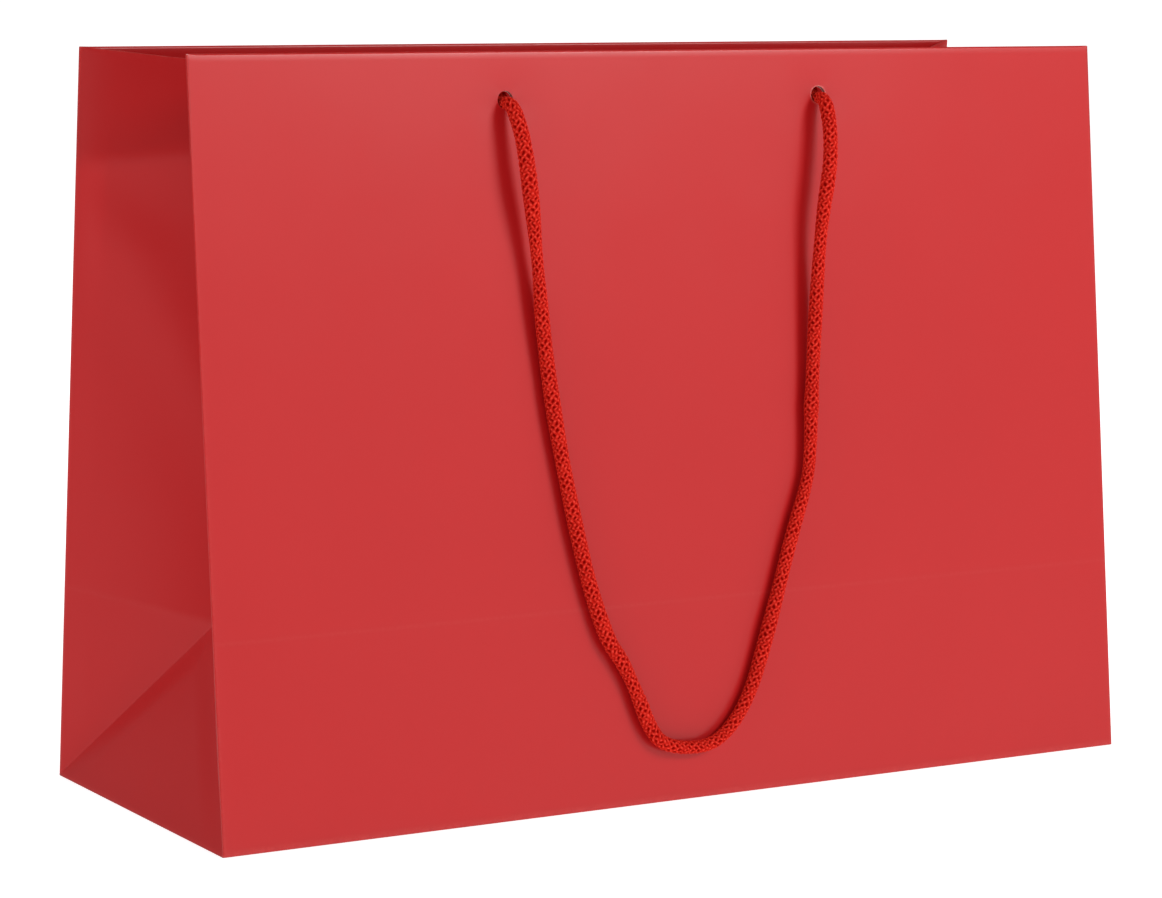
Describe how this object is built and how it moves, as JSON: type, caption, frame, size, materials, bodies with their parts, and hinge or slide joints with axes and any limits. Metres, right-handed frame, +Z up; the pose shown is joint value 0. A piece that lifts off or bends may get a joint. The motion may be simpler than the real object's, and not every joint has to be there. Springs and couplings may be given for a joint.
{
  "type": "gift bag",
  "caption": "Landscape paper gift bag with inward-folded gussets, turned-in reinforced mouth, base card and two knotted cord handles that swing up.",
  "frame": {"origin": "middle of the bottom, on the surface that the bag stands on", "axes": "+X along the long walls, the front wall with the visible handle faces -Y, +Z up"},
  "size_m": [0.42, 0.17, 0.2986],
  "materials": {
    "red_paper": "satin",
    "handle_cord": "matte",
    "grey_card": "matte",
    "base_card": "matte"
  },
  "bodies": {
    "base": {"base_card": "base_card", "front_bottom_flap": "red_paper", "back_bottom_flap": "red_paper", "left_dust_flap": "red_paper", "right_dust_flap": "red_paper", "left_back_gusset_hem": "red_paper", "left_back_gusset_lower": "red_paper", "left_back_gusset_upper": "red_paper", "left_front_gusset_hem": "red_paper", "left_front_gusset_lower": "red_paper", "left_front_gusset_upper": "red_paper", "left_gusset_foot": "red_paper", "right_back_gusset_hem": "red_paper", "right_back_gusset_lower": "red_paper", "right_back_gusset_upper": "red_paper", "right_front_gusset_hem": "red_paper", "right_front_gusset_lower": "red_paper", "right_front_gusset_upper": "red_paper", "right_gusset_foot": "red_paper"},
    "front_wall": {"front_upper_panel": "red_paper", "front_lower_panel": "red_paper", "front_reinforcement_card": "grey_card", "front_hem": "red_paper", "front_left_knot": "handle_cord", "front_right_knot": "handle_cord"},
    "back_wall": {"back_upper_panel": "red_paper", "back_lower_panel": "red_paper", "back_reinforcement_card": "grey_card", "back_hem": "red_paper", "back_left_knot": "handle_cord", "back_right_knot": "handle_cord", "side_seam_lap": "red_paper"},
    "front_handle": {"front_handle_cord": "handle_cord"},
    "back_handle": {"back_handle_cord": "handle_cord"}
  },
  "joints": [
    {"name": "front_wall_crease", "type": "hinge", "parent": "base", "child": "front_wall", "pos_m": [0, -0.08, 0], "axis": [-1, 0, 0], "range_deg": [-5.5, 7.5], "deforming": ["left_front_gusset_hem", "left_front_gusset_lower", "left_front_gusset_upper", "right_front_gusset_hem", "right_front_gusset_lower", "right_front_gusset_upper", "left_gusset_foot", "right_gusset_foot"]},
    {"name": "back_wall_crease", "type": "hinge", "parent": "base", "child": "back_wall", "pos_m": [0, 0.08, 0], "axis": [1, 0, 0], "range_deg": [-5.5, 7.5], "deforming": ["left_back_gusset_hem", "left_back_gusset_lower", "left_back_gusset_upper", "right_back_gusset_hem", "right_back_gusset_lower", "right_back_gusset_upper"]},
    {"name": "front_handle_swing", "type": "hinge", "parent": "front_wall", "child": "front_handle", "pos_m": [0, -0.0598, 0.28036], "axis": [-1, 0, 0], "range_deg": [0, 170]},
    {"name": "back_handle_swing", "type": "hinge", "parent": "back_wall", "child": "back_handle", "pos_m": [0, 0.0598, 0.28036], "axis": [1, 0, 0], "range_deg": [0, 170]}
  ],
  "couplings": [
    {"joint": "back_wall_crease", "follows": "front_wall_crease", "ratio": 1}
  ]
}
